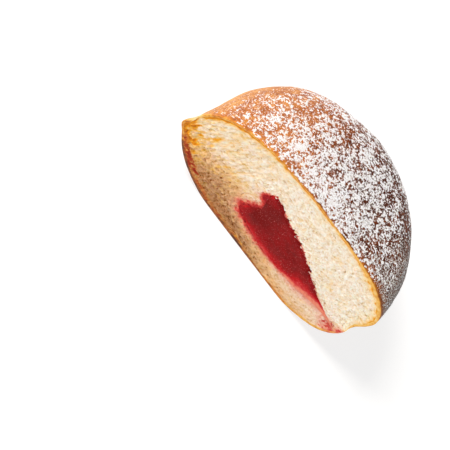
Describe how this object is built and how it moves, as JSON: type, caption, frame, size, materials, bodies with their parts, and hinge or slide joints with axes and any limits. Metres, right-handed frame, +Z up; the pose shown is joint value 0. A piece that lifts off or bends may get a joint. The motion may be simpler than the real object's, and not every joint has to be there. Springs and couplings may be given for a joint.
{
  "type": "jelly filled doughnut half",
  "caption": "Half of a round yeast-raised doughnut with a sugar dusted crust, cut upright to show pale crumb and a wedge of red jelly.",
  "frame": {"origin": "centre of the bounding box, on the surface that the half doughnut stands on", "axes": "+X along the cut face towards the jelly's thin tail, +Y from the cut face into the body, +Z up; the cut face looks towards -Y"},
  "size_m": [0.0868, 0.0438, 0.0552],
  "materials": {
    "fried_dough": "matte golden brown crust dusted with white sugar, soft cream crumb at the cut",
    "red_jelly": "deep red translucent fruit jelly with a soft sheen"
  },
  "bodies": {
    "root": {"dough": "fried_dough", "jelly": "red_jelly"}
  },
  "joints": []
}
